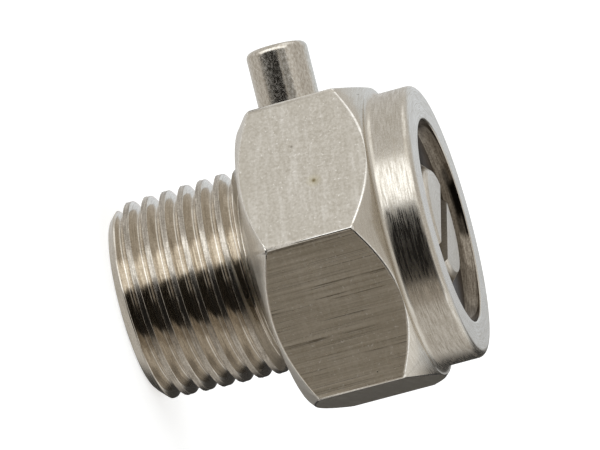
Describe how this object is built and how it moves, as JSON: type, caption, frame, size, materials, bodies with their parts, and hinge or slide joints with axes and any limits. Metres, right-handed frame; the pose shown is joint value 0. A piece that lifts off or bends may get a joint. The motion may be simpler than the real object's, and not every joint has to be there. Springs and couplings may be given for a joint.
{
  "type": "air bleed valve",
  "caption": "Hexagon air bleed valve with a taper pipe thread, a slotted bleed screw in a round collar and a small side outlet spout.",
  "frame": {"origin": "centre of the threaded end's face, on the valve's axis", "axes": "+Z along the valve's axis from the threaded end to the bleed screw, +X along the outlet spout"},
  "size_m": [0.0171, 0.0162, 0.0155],
  "materials": {
    "nickel_plated_brass": "turned and milled, nickel plated",
    "satin_nickel_brass": "drawn tube, satin nickel plated",
    "screw_nickel_brass": "turned, nickel plated",
    "seal_rubber": "moulded nitrile rubber"
  },
  "bodies": {
    "valve_body": {"valve_body": "nickel_plated_brass", "discharge_spout": "satin_nickel_brass"},
    "stem_seal": {"stem_o_ring": "seal_rubber"},
    "bleed_screw": {"bleed_screw": "screw_nickel_brass"}
  },
  "joints": [
    {"name": "screw_travel", "type": "slide", "parent": "valve_body", "child": "stem_seal", "axis": [0, 0, 1], "range_m": [0, 0.00075]},
    {"name": "screw_turn", "type": "hinge", "parent": "stem_seal", "child": "bleed_screw", "pos_m": [0, 0, 0], "axis": [0, 0, 1], "range_deg": [0, 360]}
  ],
  "couplings": [
    {"joint": "screw_turn", "follows": "screw_travel", "rad_per_m": 8377.6}
  ]
}
